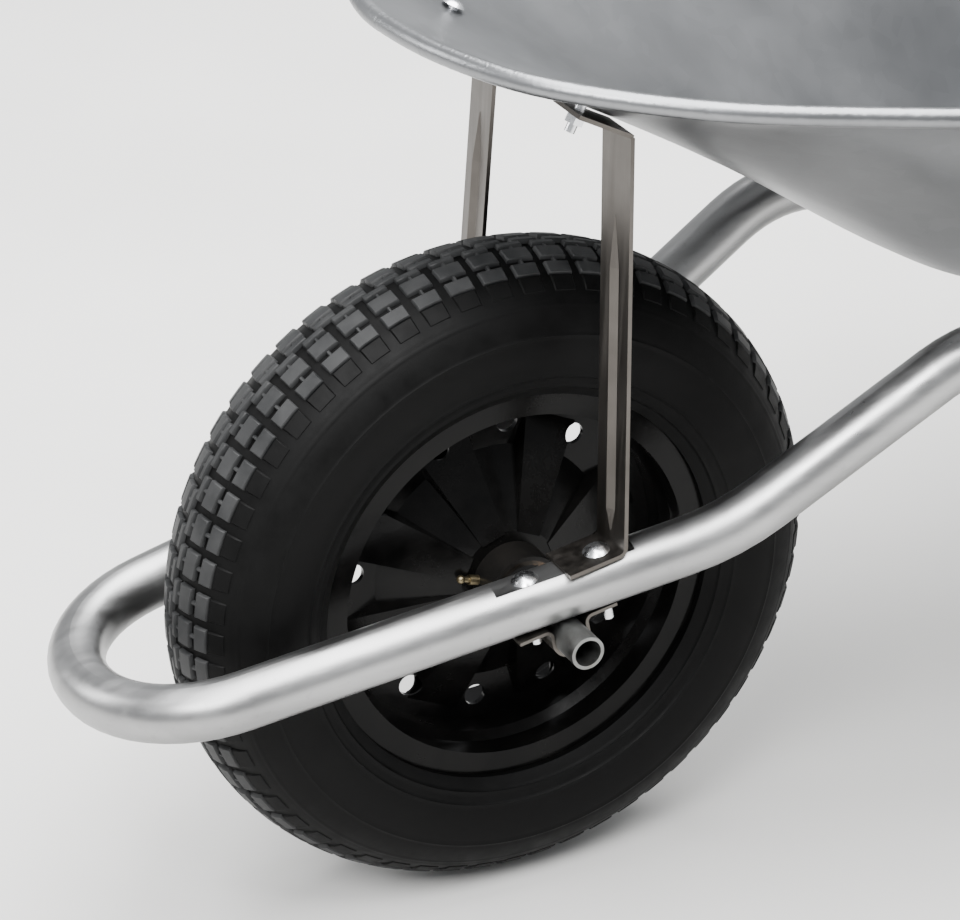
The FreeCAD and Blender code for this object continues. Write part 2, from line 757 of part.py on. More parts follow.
def make_pan():
    outer = [ring_wire(points) for points in outer_rings()]
    inner = [ring_wire(points) for points in inner_rings()]
    bead = [ring_wire(bead_ring(angle, size("bead_radius"))) for angle in (-60.0, 0.0, 60.0, 120.0, 180.0)]
    skins = [
        Part.makeLoft(outer, False, False),
        Part.makeLoft([outer[0]] + bead + [inner[0]], False, False),
        Part.makeLoft(inner, False, False),
        Part.Face(outer[-1]),
        Part.Face(inner[-1]),
    ]
    faces = [face for skin in skins for face in skin.Faces]
    shell = Part.Shell(faces)
    shell.sewShape()
    solid = Part.Solid(Part.Shell(shell.Faces))
    if solid.Volume < 0:
        solid.reverse()
    for place, radius in pan_holes():
        drill = Part.makeCylinder(radius, 24.0)
        drill.Placement = below(place, 12.0)
        solid = solid.cut(drill)
    solid = solid.cut(bead_core(size("wire_radius") + 0.3))
    keep(plain_shape("pan_shell", solid), "pan")
    keep(plain_shape("wire_ring", bead_core(size("wire_radius"))), "rim_wire")


def bead_core(radius):
    """A closed round bar along the middle of the rolled rim."""
    rings = [ring_wire(bead_ring(angle, radius)) for angle in range(0, 360, 45)]
    skin = Part.makeLoft(rings, False, False, True)
    bar = Part.Solid(Part.Shell(skin.Faces))
    if bar.Volume < 0:
        bar.reverse()
    return bar


def wall_frame(side):
    """Outside of the pan at a brace's bolt: local X runs up to the nose, Z into the pan."""
    rings = outer_rings()
    point = rings[BRACE_ROW][BRACE_STATION]
    along = ring_tangent(rings[BRACE_ROW], BRACE_STATION)
    ahead = (rings[BRACE_ROW - 1][BRACE_STATION] - rings[BRACE_ROW + 1][BRACE_STATION]).normalize()
    normal = ahead.cross(along)
    if normal.z < 0:
        normal = normal * -1
    normal.normalize()
    ahead = (ahead - normal * ahead.dot(normal)).normalize()
    return Placement(mirrored(point, side), rotation_of(mirrored(ahead, side), mirrored(normal, side)))


def rotation_of(ahead, up):
    """Turns local X to a direction and local Z to another, square to it."""
    return Rotation(ahead, up.cross(ahead), up, "XYZ")


# The point of the pan's rings, and the ring, where the brace's bolt goes through.
BRACE_STATION = 2
BRACE_ROW = 2


def pan_holes():
    """Bolt holes through the pan: two at the braces, four in the floor."""
    holes = []
    for _, side in SIDES:
        holes.append((flange_bolt_frame(side), size("small_bolt_radius") + 0.2))
        for along in FLOOR_BOLTS:
            holes.append((floor_bolt_placement(along, side), size("large_bolt_radius") + 0.2))
    return holes


def floor_bolt_placement(along, side):
    """On the underside of the floor, above the middle of the pipe."""
    point = rear_point(along, side)
    return Placement(Vector(point.x, point.y, floor_height(point.x)), Rotation())


# ---------------------------------------------------------------- braces

def strip_section(start, way, across, width, gauge):
    """A rectangle square to a direction, centred on a point."""
    over = way.cross(across).normalize()
    wide = across.normalize() * (width / 2)
    deep = over * (gauge / 2)
    corners = [wide + deep, wide - deep, wide * -1 - deep, wide * -1 + deep, wide + deep]
    return Part.makePolygon([start + corner for corner in corners])


# Reach of a brace's flange behind and ahead of its bolt, and its least distance from the pan.
FLANGE_BACK = 28.0
FLANGE_FRONT = 9.0
FLANGE_CLEAR = 0.35


def flange_bolt_frame(side):
    """Outside of the pan at a brace's bolt. X runs forward along the flange, Z into the pan."""
    wall = wall_frame(1)
    normal = wall.Rotation.multVec(UP)
    ahead = Vector(normal.z, 0, -normal.x).normalize()
    into_pan = Vector(-ahead.z, 0, ahead.x)
    return Placement(mirrored(wall.Base, side), rotation_of(ahead, into_pan))


def flange_lean():
    """How steeply the pan slopes across a flange, as rise over run."""
    normal = wall_frame(1).Rotation.multVec(UP)
    return abs(normal.y) / math.hypot(normal.x, normal.z)


def flange_drop():
    """From the pan at the bolt down to the flange, which is level across and so clears the sloping pan."""
    return flange_lean() * size("brace_width") / 2 + FLANGE_CLEAR


def brace_flange(side):
    """The fold under the pan: origin in the middle of the fold, Y along it, Z into the pan."""
    bolt = flange_bolt_frame(side)
    middle = bolt.multVec(Vector(-FLANGE_BACK, 0, -flange_drop() - size("brace_gauge") / 2))
    return Placement(middle, bolt.Rotation)


def brace_heel():
    """Middle of the bend between a brace's foot and its rise, on the left."""
    foot_level = PIPE_RADIUS - size("clamp_flat") + size("brace_gauge") / 2 + 0.05
    heel = clamp_placement(1, -33.0, foot_level).Base
    return Vector(heel.x, size("half_track") + 1.0, heel.z)


def make_brace(name, side):
    """A ribbed strip with a foot on the pipe and a flange folded forward under the pan."""
    flange = brace_flange(side)
    heel = mirrored(brace_heel(), side)
    foot_way = Vector(math.cos(PITCH), 0, -math.sin(PITCH))
    toe = heel + foot_way * 34.5
    rise = (flange.Base - heel).normalize()
    beyond = flange.Base + rise * 12.0
    across = Vector(0, 1, 0)
    width = size("brace_width")
    gauge = size("brace_gauge")
    path = Part.Wire(bent_edges([toe, heel, beyond], [4.0]))
    section = strip_section(toe, foot_way * -1, across, width, gauge)
    strip = path.makePipeShell([section], True, False)
    above = Part.makeBox(120.0, 120.0, 40.0, Vector(-60.0, -60.0, 0))
    above.Placement = flange
    reach = FLANGE_BACK + FLANGE_FRONT
    plate = Part.makeBox(reach, width, gauge, Vector(-gauge / 2, -width / 2, -gauge / 2))
    plate.Placement = flange
    strip = strip.cut(above).fuse(plate)

    wide = (across - rise * rise.y).normalize()
    face = wide.cross(rise)
    start = heel + rise * 9.0
    length = (flange.Base - heel).Length - 58.0
    ridge = rib_bar(start, rise, wide, face, gauge / 2 - 0.02, length)
    groove = rib_bar(start, rise, wide, face, -gauge / 2 - 0.02, length)
    strip = strip.fuse(ridge).cut(groove)
    foot_hole = Part.makeCylinder(size("small_bolt_radius") + 0.2, 40.0)
    foot_hole.Placement = clamp_placement(side, -size("strap_bolt_offset"), 0)
    wall_hole = Part.makeCylinder(size("small_bolt_radius") + 0.2, 20.0)
    wall_hole.Placement = below(flange_bolt_frame(side), 10.0)
    return plain_shape(name + "_strip", strip.cut(foot_hole).cut(wall_hole))


def rib_bar(start, rise, wide, face, level, length):
    """A three-cornered bar with tapered ends, on a plane at a level over the strip's middle."""
    sections = []
    for along, scale in ((0, 0.1), (14.0, 1.0), (length - 30.0, 1.0), (length, 0.1)):
        foot = start + face * level + rise * along
        corners = [foot + wide * (5.0 * scale), foot + face * (3.0 * scale), foot - wide * (5.0 * scale)]
        sections.append(Part.makePolygon(corners + corners[:1]))
    return Part.makeLoft(sections, True, True)


# ---------------------------------------------------------------- legs and grips

LEG_OFFSET = size("pipe_radius") + size("tab_gauge") / 2 + 0.1
FOOT_STATIONS = (318.0, 404.0)


def leg_line(side):
    """Corners of a leg: front bolt, front of the foot, back of the foot, rear bolt."""
    inward = outward(side) * -LEG_OFFSET
    corners = []
    for station in (LEG_BOLTS[0],) + FOOT_STATIONS + (LEG_BOLTS[1],):
        point = rear_point(station, side) + inward
        if station in FOOT_STATIONS:
            point.z = size("leg_radius") - size("foot_flat")
        corners.append(point)
    return corners


def make_leg(name, side):
    front, toe, heel, rear = leg_line(side)
    start = front + (toe - front).normalize() * 34.0
    end = rear + (heel - rear).normalize() * 34.0
    radius = size("leg_radius")
    bends = [35.0, 35.0]
    tube = swept_pipe([start, toe, heel, end], bends, radius)
    tube = tube.cut(swept_pipe([start, toe, heel, end], bends, radius - size("leg_wall")))
    ground = Part.makeBox(200.0, 100.0, 20.0, (toe + heel) / 2 - Vector(100, 50, toe.z + 20))
    tube = tube.cut(ground)
    for bolt, neighbour in ((front, toe), (rear, heel)):
        down = (neighbour - bolt).normalize()
        across = outward(side).cross(down).normalize()
        frame = Placement(bolt, Rotation(down, across, down.cross(across).normalize(), "XYZ"))
        gauge = size("tab_gauge")
        tab = Part.makeBox(50.0, 26.0, gauge, Vector(-12.0, -13.0, -gauge / 2))
        tab.Placement = frame
        hole = Part.makeCylinder(size("large_bolt_radius") + 0.2, 30.0, Vector(0, 0, -15.0))
        hole.Placement = frame
        tube = tube.fuse(tab).cut(hole)
    bar = cross_bar_frame()
    drill = Part.makeCylinder(size("small_bolt_radius") + 0.2, 60.0)
    drill.Placement = below(Placement(mirrored(bar.Base, side), bar.Rotation), 30.0)
    return plain_shape(name + "_bent", tube.cut(drill))


def cross_bar_frame():
    """Left end of the cross bar, on the rear struts: local X down the strut, Z to the rear."""
    _, _, heel, rear = leg_line(1)
    strut = (rear - heel).normalize()
    point = heel + strut * ((CROSS_BAR_HEIGHT - heel.z) / strut.z)
    facing = strut.cross(Vector(0, 1, 0)).normalize()
    if facing.x > 0:
        facing = facing * -1
    down = Vector(0, 1, 0).cross(facing).normalize()
    return Placement(point, Rotation(down, Vector(0, 1, 0), facing, "XYZ"))


CROSS_BAR_HEIGHT = 120.0


def make_cross_bar():
    frame = cross_bar_frame()
    reach = frame.Base.y + 15.0
    middle = Placement(Vector(frame.Base.x, 0, frame.Base.z), frame.Rotation)
    seat = size("leg_radius") + 0.1
    bar = box("cross_bar_flat", "35", "%f" % (2 * reach), "4",
              middle.multiply(Placement(Vector(-17.5, -reach, seat), Rotation())))
    holes = []
    for label, side in SIDES:
        place = middle.multiply(Placement(Vector(0, side * frame.Base.y, 0), Rotation()))
        holes.append(cylinder("cross_bar_hole_" + label, "dims.small_bolt_radius + 0.2", "30", place))
    keep(cut("cross_bar_drilled", bar, fuse("cross_bar_holes", holes)), "leg_cross_bar")


def make_grip(name, side):
    """A plastic sleeve with a collar and finger ridges, closed at its end."""
    way = mirrored(HANDLE_WAY, side)
    bore = "dims.pipe_radius + 0.05"
    grip = "dims.grip_radius"
    length = "dims.grip_length"
    outline = [("dims.pipe_radius + 0.05", "0"), (grip + " + 4", "0"), (grip + " + 4", "5"), (grip, "9")]
    for index in range(5):
        start = 26 + 16 * index
        outline.append((grip, "%d" % start))
        outline.append((grip + " + 1.2", "%d" % (start + 4)))
        outline.append((grip + " + 1.2", "%d" % (start + 8)))
        outline.append((grip, "%d" % (start + 12)))
    outline += [(grip, length + " - 6"), (grip + " - 6", length), ("0", length), ("0", length + " - 6"),
                (bore, length + " - 6")]
    start = mirrored(HANDLE_END, side) - way * (size("grip_length") - 6.2)
    place = Placement(start, Rotation(Vector(0, 1, 0), way))
    return revolved_body(name + "_sleeve", outline, place)


# ---------------------------------------------------------------- bolts and nuts

def make_fasteners():
    small = "dims.small_bolt_radius"
    large = "dims.large_bolt_radius"
    flat = PIPE_RADIUS - size("clamp_flat")
    groups = {name: [] for name in (
        "clamp_bolts", "brace_pan_bolts", "brace_pan_nuts", "pan_floor_bolts",
        "pan_floor_nuts", "leg_bolts", "leg_nuts", "cross_bar_bolts", "cross_bar_nuts",
    )}
    for label, side in SIDES:
        for end, along, over in (("front", STRAP_BOLTS[0], 0.1), ("rear", STRAP_BOLTS[1], 2.75)):
            name = "%s_%s_clamp" % (label, end)
            seat = clamp_placement(side, along, flat + over)
            groups["clamp_bolts"].append(dome_bolt(name + "_bolt", small, "%f" % (42.5 + over), "8", seat))

        wall = flange_bolt_frame(side)
        head = below(wall, -size("pan_gauge") - WALL_HEAD_RADIUS * flange_lean() - 0.25)
        shank = "%f" % (flange_drop() + 16.0)
        crown = "%f" % WALL_HEAD_RADIUS
        groups["brace_pan_bolts"].append(dome_bolt(label + "_wall_bolt", small, shank, crown, head))
        nut_seat = below(wall, flange_drop() + size("brace_gauge") + 0.1)
        groups["brace_pan_nuts"].append(hex_nut(label + "_wall_nut", *SMALL_NUT, nut_seat))

        for index, along in enumerate(FLOOR_BOLTS):
            name = "%s_floor_%d" % (label, index)
            under = floor_bolt_placement(along, side)
            top = Placement(under.Base + UP * (size("pan_gauge") + 0.7), Rotation())
            groups["pan_floor_bolts"].append(dome_bolt(name + "_bolt", large, "48", "10", top))
            low = Placement(rear_point(along, side) - UP * (PIPE_RADIUS + 0.4), Rotation())
            groups["pan_floor_nuts"].append(hex_nut(name + "_nut", *LARGE_NUT, low))

        for index, along in enumerate(LEG_BOLTS):
            name = "%s_leg_%d" % (label, index)
            away = Rotation(UP, outward(side))
            head = Placement(rear_point(along, side) + outward(side) * (PIPE_RADIUS + 0.3), away)
            groups["leg_bolts"].append(dome_bolt(name + "_bolt", large, "50", "9", head))
            inner = rear_point(along, side) - outward(side) * (LEG_OFFSET + size("tab_gauge") / 2 + 0.1)
            groups["leg_nuts"].append(hex_nut(name + "_nut", *LARGE_NUT, Placement(inner, away)))

        frame = cross_bar_frame()
        middle = Placement(Vector(frame.Base.x, side * frame.Base.y, frame.Base.z), frame.Rotation)
        behind = middle.multiply(Placement(Vector(0, 0, size("leg_radius") + 4.2), Rotation()))
        groups["cross_bar_bolts"].append(dome_bolt(label + "_bar_bolt", small, "38", "7", behind))
        ahead = below(middle, size("leg_radius") + 0.1)
        groups["cross_bar_nuts"].append(hex_nut(label + "_bar_nut", *SMALL_NUT, ahead))
    for name, solids in groups.items():
        keep(group(name + "_group", solids), name)


# ---------------------------------------------------------------- the whole object

make_frame_tube()
make_axle()
make_tyre()
make_rim()
for side_name, side_sign in SIDES:
    keep(make_disc(side_name + "_disc", side_sign), side_name + "_wheel_disc")
    keep(make_strap(side_name + "_strap", side_sign), side_name + "_axle_strap")
    keep(make_brace(side_name + "_brace_bar", side_sign), side_name + "_brace")
    keep(make_leg(side_name + "_leg_tube", side_sign), side_name + "_leg")
    keep(make_grip(side_name + "_hand", side_sign), side_name + "_grip")
make_hub()
make_pan()
make_cross_bar()
make_fasteners()
doc.recompute()

for obj in doc.Objects:
    for word in ("Invalid", "Error"):
        if word in obj.State:
            raise RuntimeError("%s is %s" % (obj.Name, word))
for obj in sub_parts:
    if obj.Shape.isNull() or not obj.Shape.isValid():
        raise RuntimeError("%s has no valid shape" % obj.Label)

os.makedirs("parts", exist_ok=True)
for obj in sub_parts:
    obj.Shape.exportStep("parts/%s.step" % obj.Label)
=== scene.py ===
"""Wheelbarrow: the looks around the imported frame. Lengths are in metres."""

import math

import bpy
import numpy as np
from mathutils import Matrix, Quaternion, Vector


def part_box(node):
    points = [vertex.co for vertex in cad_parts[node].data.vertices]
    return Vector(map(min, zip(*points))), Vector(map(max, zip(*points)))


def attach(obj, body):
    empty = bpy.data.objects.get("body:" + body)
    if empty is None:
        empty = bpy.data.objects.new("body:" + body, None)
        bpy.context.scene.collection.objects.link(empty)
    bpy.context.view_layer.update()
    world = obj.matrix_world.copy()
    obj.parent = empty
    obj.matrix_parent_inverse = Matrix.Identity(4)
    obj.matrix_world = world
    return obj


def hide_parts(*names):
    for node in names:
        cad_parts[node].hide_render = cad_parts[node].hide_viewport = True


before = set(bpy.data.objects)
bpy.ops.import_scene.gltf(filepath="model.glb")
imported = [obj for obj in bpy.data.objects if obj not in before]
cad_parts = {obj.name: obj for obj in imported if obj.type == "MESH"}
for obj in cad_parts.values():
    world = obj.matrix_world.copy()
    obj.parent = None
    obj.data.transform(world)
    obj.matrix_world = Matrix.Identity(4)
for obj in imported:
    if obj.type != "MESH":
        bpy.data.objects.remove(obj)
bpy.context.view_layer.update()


# ---------------------------------------------------------------- materials
def grey(level):
    """A neutral colour of the given brightness."""
    return level, level, level


class Material:
    """A node material with a Principled shader and short calls for its inputs."""

    def __init__(self, name, **sockets):
        self.material = bpy.data.materials.new(name)
        self.material.use_nodes = True
        self.tree = self.material.node_tree
        self.shader = self.tree.nodes["Principled BSDF"]
        self.place = self.node("ShaderNodeTexCoord").outputs["Object"]
        for socket, value in sockets.items():
            self.shader.inputs[socket.replace("_", " ")].default_value = value

    def node(self, kind, **settings):
        made = self.tree.nodes.new(kind)
        for name, value in settings.items():
            setattr(made, name, value)
        return made

    def link(self, start, end):
        self.tree.links.new(start, end)

    def stretched(self, scale):
        """The object's coordinates, scaled differently along each axis."""
        mapping = self.node("ShaderNodeMapping")
        mapping.inputs["Scale"].default_value = scale
        self.link(self.place, mapping.inputs["Vector"])
        return mapping.outputs["Vector"]

    def noise(self, scale, detail=4.0, roughness=0.55, stretch=(1, 1, 1)):
        made = self.node("ShaderNodeTexNoise")
        self.link(self.stretched(stretch), made.inputs["Vector"])
        made.inputs["Scale"].default_value = scale
        made.inputs["Detail"].default_value = detail
        made.inputs["Roughness"].default_value = roughness
        return made.outputs["Fac"]

    def cells(self, scale):
        """Voronoi cells; the caller picks their colour or distance output."""
        made = self.node("ShaderNodeTexVoronoi")
        self.link(self.place, made.inputs["Vector"])
        made.inputs["Scale"].default_value = scale
        return made

    def ramp(self, value, *stops):
        """Maps a value to colours; each stop is (position, colour or grey level)."""
        made = self.node("ShaderNodeValToRGB")
        elements = made.color_ramp.elements
        while len(elements) < len(stops):
            elements.new(0.5)
        for element, (position, colour) in zip(elements, stops):
            if not isinstance(colour, tuple):
                colour = grey(colour)
            element.position = position
            element.color = (*colour, 1.0)
        self.link(value, made.inputs["Fac"])
        return made.outputs["Color"]

    def range(self, value, low, high):
        """Spreads the middle of a noise value from low to high."""
        made = self.node("ShaderNodeMapRange")
        made.inputs["From Min"].default_value = 0.3
        made.inputs["From Max"].default_value = 0.7
        made.inputs["To Min"].default_value = low
        made.inputs["To Max"].default_value = high
        self.link(value, made.inputs["Value"])
        return made.outputs["Result"]

    def mix(self, factor, first, second, blend="MIX"):
        """Blends two colours; each argument is an output, a colour or a number."""
        made = self.node("ShaderNodeMix", data_type="RGBA", blend_type=blend)
        for value, socket in ((factor, made.inputs[0]), (first, made.inputs[6]), (second, made.inputs[7])):
            if hasattr(value, "is_linked"):
                self.link(value, socket)
            elif isinstance(value, tuple):
                socket.default_value = (*value, 1.0)
            else:
                socket.default_value = value
        return made.outputs[2]

    def colour(self, output):
        self.link(output, self.shader.inputs["Base Color"])

    def roughness(self, output):
        self.link(output, self.shader.inputs["Roughness"])

    def bump(self, *layers):
        """Each layer is (height output, depth in metres)."""
        normal = None
        for height, depth in layers:
            made = self.node("ShaderNodeBump")
            made.inputs["Strength"].default_value = 1.0
            made.inputs["Distance"].default_value = depth
            self.link(height, made.inputs["Height"])
            if normal is not None:
                self.link(normal, made.inputs["Normal"])
            normal = made.outputs["Normal"]
        self.link(normal, self.shader.inputs["Normal"])
        return self.material


def zinc_pipe(name, light, dark, rough):
    """Zinc-coated tube: satin, with soft streaks along it, dull patches and fine scuffs."""
    m = Material(name, Metallic=1.0)
    streaks = m.noise(26.0, 5.0, 0.6, (0.35, 2.2, 2.2))
    patches = m.noise(9.0, 3.0, 0.5)
    fine = m.noise(900.0, 2.0, 0.5, (0.3, 1, 1))
    tone = m.mix(m.range(patches, 0.0, 1.0), dark, light)
    tone = m.mix(0.35, tone, m.ramp(streaks, (0.35, 0.55), (0.62, 1.0)), "MULTIPLY")
    spots = m.ramp(m.noise(140.0, 3.0, 0.7), (0.30, 0.72), (0.38, 1.0))
    m.colour(m.mix(0.28, tone, spots, "MULTIPLY"))
    m.roughness(m.range(streaks, rough - 0.06, rough + 0.10))
    return m.bump((patches, 0.0008), (fine, 0.00002))


def zinc_sheet(name):
    """Galvanised sheet: a faint spangle, soft cloudy tone, slight waves."""
    m = Material(name, Metallic=1.0)
    spangle = m.cells(85.0)
    clouds = m.noise(5.0, 4.0, 0.55)
    fine = m.noise(500.0, 2.0, 0.5)
    tone = m.ramp(clouds, (0.3, (0.165, 0.169, 0.175)), (0.7, (0.235, 0.240, 0.247)))
    grain = m.ramp(spangle.outputs["Color"], (0.1, 0.88), (0.9, 1.0))
    m.colour(m.mix(0.6, tone, grain, "MULTIPLY"))
    m.roughness(m.range(clouds, 0.30, 0.42))
    return m.bump((m.noise(7.0, 2.0, 0.4), 0.0018), (fine, 0.00002))


def warm_strip(name):
    """Rolled flat steel with a dull warm film and lengthwise roll marks."""
    m = Material(name, Metallic=1.0)
    roll = m.noise(60.0, 5.0, 0.6, (3.0, 3.0, 0.12))
    film = m.noise(14.0, 4.0, 0.6)
    tone = m.ramp(film, (0.3, (0.080, 0.073, 0.066)), (0.7, (0.130, 0.120, 0.110)))
    m.colour(m.mix(0.4, tone, m.ramp(roll, (0.3, 0.62), (0.7, 1.0)), "MULTIPLY"))
    m.roughness(m.range(roll, 0.34, 0.52))
    return m.bump((roll, 0.00008))


def bright_zinc(name, tint=(0.74, 0.75, 0.77), rough=0.22):
    """Plated fasteners: bright, with tiny pits and a slightly uneven film."""
    m = Material(name, Metallic=1.0)
    film = m.noise(120.0, 4.0, 0.6)
    pits = m.noise(1400.0, 2.0, 0.5)
    low = tuple(0.72 * value for value in tint)
    m.colour(m.ramp(film, (0.3, low), (0.65, tint)))
    m.roughness(m.range(film, rough - 0.05, rough + 0.12))
    return m.bump((pits, 0.00002))


def dull_steel(name, light=(0.40, 0.40, 0.39), dark=(0.22, 0.21, 0.20)):
    """Plain steel with a grey mill skin and a little brown tarnish."""
    m = Material(name, Metallic=1.0)
    skin = m.noise(60.0, 5.0, 0.65)
    rust = m.ramp(m.noise(35.0, 5.0, 0.7), (0.60, 0.0), (0.74, 0.5))
    tone = m.ramp(skin, (0.3, dark), (0.7, light))
    m.colour(m.mix(rust, tone, (0.20, 0.12, 0.07)))
    m.roughness(m.range(skin, 0.32, 0.55))
    return m.bump((skin, 0.00006))


def black_paint(name, base, rough, dust):
    """Stoved black paint: glossy, faint orange peel, thin dust."""
    m = Material(name, Specular_IOR_Level=0.09, IOR=1.5)
    peel = m.noise(420.0, 2.0, 0.4)
    grime = m.noise(30.0, 5.0, 0.65)
    m.colour(m.ramp(grime, (0.35, base), (0.75, dust)))
    m.roughness(m.range(grime, rough, rough + 0.16))
    return m.bump((peel, 0.00003), (m.noise(40.0, 2.0, 0.5), 0.0002))


def rubber(name, dark, light, rough, gloss, scale=70.0):
    """Moulded rubber with a dry bloom and a very fine grain."""
    m = Material(name, IOR=1.5, Specular_IOR_Level=gloss)
    bloom = m.noise(scale, 5.0, 0.62)
    grain = m.noise(1500.0, 2.0, 0.5)
    m.colour(m.ramp(bloom, (0.34, dark), (0.72, light)))
    m.roughness(m.range(bloom, rough, rough + 0.18))
    return m.bump((grain, 0.00005), (m.noise(240.0, 3.0, 0.6), 0.00008))


def grip_plastic(name):
    """Soft black plastic of a hand grip, with a fine leather-like grain."""
    m = Material(name, IOR=1.48, Specular_IOR_Level=0.15)
    wear = m.noise(45.0, 4.0, 0.6)
    cells = m.cells(1100.0)
    m.colour(m.ramp(wear, (0.35, (0.004, 0.004, 0.0045)), (0.75, (0.012, 0.012, 0.0125))))
    m.roughness(m.range(wear, 0.42, 0.58))
    return m.bump((cells.outputs["Distance"], 0.00008))


MATERIALS = {
    "frame_pipe": zinc_pipe("frame_pipe_zinc", grey(0.37), grey(0.27), 0.33),
    "leg_tube": zinc_pipe("leg_tube_zinc", grey(0.34), grey(0.25), 0.35),
    "fasteners": bright_zinc("fastener_zinc"),
    "strip_steel": warm_strip("strip_steel_rolled"),
    "pan_sheet": zinc_sheet("pan_sheet_zinc"),
    "plain_steel": dull_steel("plain_steel_mill"),
    "tyre_rubber": rubber("tyre_sidewall_rubber", grey(0.0008), grey(0.0020), 0.46, 0.08),
    "soft_rubber": rubber("soft_rubber_black", grey(0.004), grey(0.010), 0.55, 0.15),
    "wheel_paint": black_paint("wheel_black_paint", grey(0.0012), 0.14, (0.0040, 0.0038, 0.0036)),
    "hub_paint": black_paint("hub_black_paint", grey(0.004), 0.28, (0.010, 0.009, 0.008)),
    "bearing_steel": bright_zinc("bearing_steel_ground", grey(0.66), 0.16),
    "axle_steel": dull_steel("axle_steel_drawn", (0.24, 0.245, 0.24), (0.12, 0.12, 0.115)),
    "grip_plastic": grip_plastic("grip_plastic_black"),
    "brass": bright_zinc("grease_nipple_brass", (0.20, 0.165, 0.10), 0.38),
}
# The tread blocks get a rubber about ten times lighter than the sidewall's: partly dust, partly a painted
# reflection of the light on the tread tops.
TREAD_RUBBER_DUST_AND_SHEEN = rubber(
    "tyre_tread_rubber_dust_and_sheen", (0.008, 0.0084, 0.0088), (0.024, 0.0244, 0.0248), 0.46, 0.20, 45.0
)
# The axle spacers and bearing parts get a steel far darker than the axle's own.
DARK_HUB_STEEL = dull_steel("axle_spacer_dark_steel", (0.055, 0.050, 0.044), (0.018, 0.016, 0.014))
DARK_HUB_STEEL_NODES = ("axle_spacers", "bearing_inner_rings", "bearing_outer_rings", "bearing_balls")

for name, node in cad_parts.items():
    for slot in node.material_slots:
        slot.material = DARK_HUB_STEEL if name in DARK_HUB_STEEL_NODES else MATERIALS[slot.material.name]


# ---------------------------------------------------------------- tyre
tyre_low, tyre_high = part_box("tyre")
AXLE = (tyre_low + tyre_high) / 2
TYRE_RADIUS = (tyre_high.z - tyre_low.z) / 2
HALF_WIDTH = (tyre_high.y - tyre_low.y) / 2
# The casing's section is an oval, this high above the ring that runs through its middle, and its
# inside is a smaller oval about the same ring.
SECTION_HEIGHT = 0.0484
SECTION_RADIUS = TYRE_RADIUS - SECTION_HEIGHT
INSIDE_HEIGHT = 0.0414
INSIDE_HALF_WIDTH = 0.0455

# Angles from the crown in degrees: the tread's edge, and the last points outside and inside.
SHOULDER = 52
OUTSIDE_END = 127.5
INSIDE_END = 152.5
# Points along the section: one sidewall, the crown, and the inside.
SIDE_POINTS = 60
CROWN_POINTS = 53
INSIDE_POINTS = 40
# The bead from its outer edge to its toe, as (radius, distance from the middle).
BEAD = ((0.1222, 0.0366), (0.1216, 0.0359), (0.1110, 0.0359), (0.1102, 0.0350), (0.1102, 0.0215))

# Depth in mm of the rubber between the blocks, against the angle from the crown.
GROOVE_ANGLES = (0, 26, 36, 48, 52, 74)
GROOVE_DEPTHS = (2.8, 2.8, 2.2, 1.3, 0.9, 0.0)
# Raised lines round each sidewall: angle from the crown, half of the width as an angle, height.
SIDEWALL_LINES = ((78, 1.6, 0.0006), (108, 1.4, 0.0008), (117, 2.0, 0.0010), (57, 1.0, 0.0003))

# Blocks in a row round the wheel, and steps of the casing for each of them.
PITCHES = 59
STEPS_PER_PITCH = 6
# The rows left and right of the crown are half a pitch apart: (side, place within the pitch).
ROWS = ((1, 0.25), (-1, 0.75))
# Places of the two rubbers among the tyre's materials.
SIDEWALL, TREAD = 0, 1
# Edges that turn by more degrees than this are shaded sharp.
SHARP_EDGE = 38


def casing_oval(phi, lift):
    """Radius and distance from the middle, for an angle from the crown and a height above the oval."""
    return SECTION_RADIUS + (SECTION_HEIGHT + lift) * np.cos(phi), (HALF_WIDTH + lift) * np.sin(phi)


def tyre_point(theta, phi, lift):
    """The same as a point, for an angle round the wheel."""
    radius, across = casing_oval(phi, lift)
    return np.stack([AXLE.x + radius * np.cos(theta), AXLE.y + across, AXLE.z + radius * np.sin(theta)], -1)


def groove_floor(phi):
    """Height of the rubber between the blocks, for an angle from the crown in degrees."""
    return -np.interp(np.abs(phi), GROOVE_ANGLES, GROOVE_DEPTHS) / 1000


def ridge(phi, at, width, height):
    """A narrow raised line moulded round the sidewall."""
    share = np.clip(1 - np.abs(np.abs(phi) - at) / width, 0, 1)
    return height * share * share * (3 - 2 * share)


def ring_faces(rows, columns):
    """Quads of a grid that is closed into a loop both ways."""
    faces = []
    for row in range(rows):
        above = (row + 1) % rows
        for column in range(columns):
            after = (column + 1) % columns
            corners = ((row, column), (row, after), (above, after), (above, column))
            faces.append(tuple(r * columns + c for r, c in corners))
    return faces


def casing_section():
    """The tyre's closed section: the points' radii and their distances from the middle."""
    outside = np.concatenate([
        np.linspace(-OUTSIDE_END, -SHOULDER, SIDE_POINTS)[:-1],
        np.linspace(-SHOULDER, SHOULDER, CROWN_POINTS),
        np.linspace(SHOULDER, OUTSIDE_END, SIDE_POINTS)[1:],
    ])
    lift = groove_floor(outside) + sum(ridge(outside, *line) for line in SIDEWALL_LINES)
    outer_radii, outer_widths = casing_oval(np.radians(outside), lift)
    inside = np.radians(np.linspace(INSIDE_END, -INSIDE_END, INSIDE_POINTS))
    bead_radii, bead_widths = np.array(BEAD).T
    inner_radii = SECTION_RADIUS + INSIDE_HEIGHT * np.cos(inside)
    inner_widths = INSIDE_HALF_WIDTH * np.sin(inside)
    radii = [outer_radii, bead_radii, inner_radii, bead_radii[::-1]]
    widths = [outer_widths, bead_widths, inner_widths, -bead_widths[::-1]]
    return np.concatenate(radii), np.concatenate(widths)


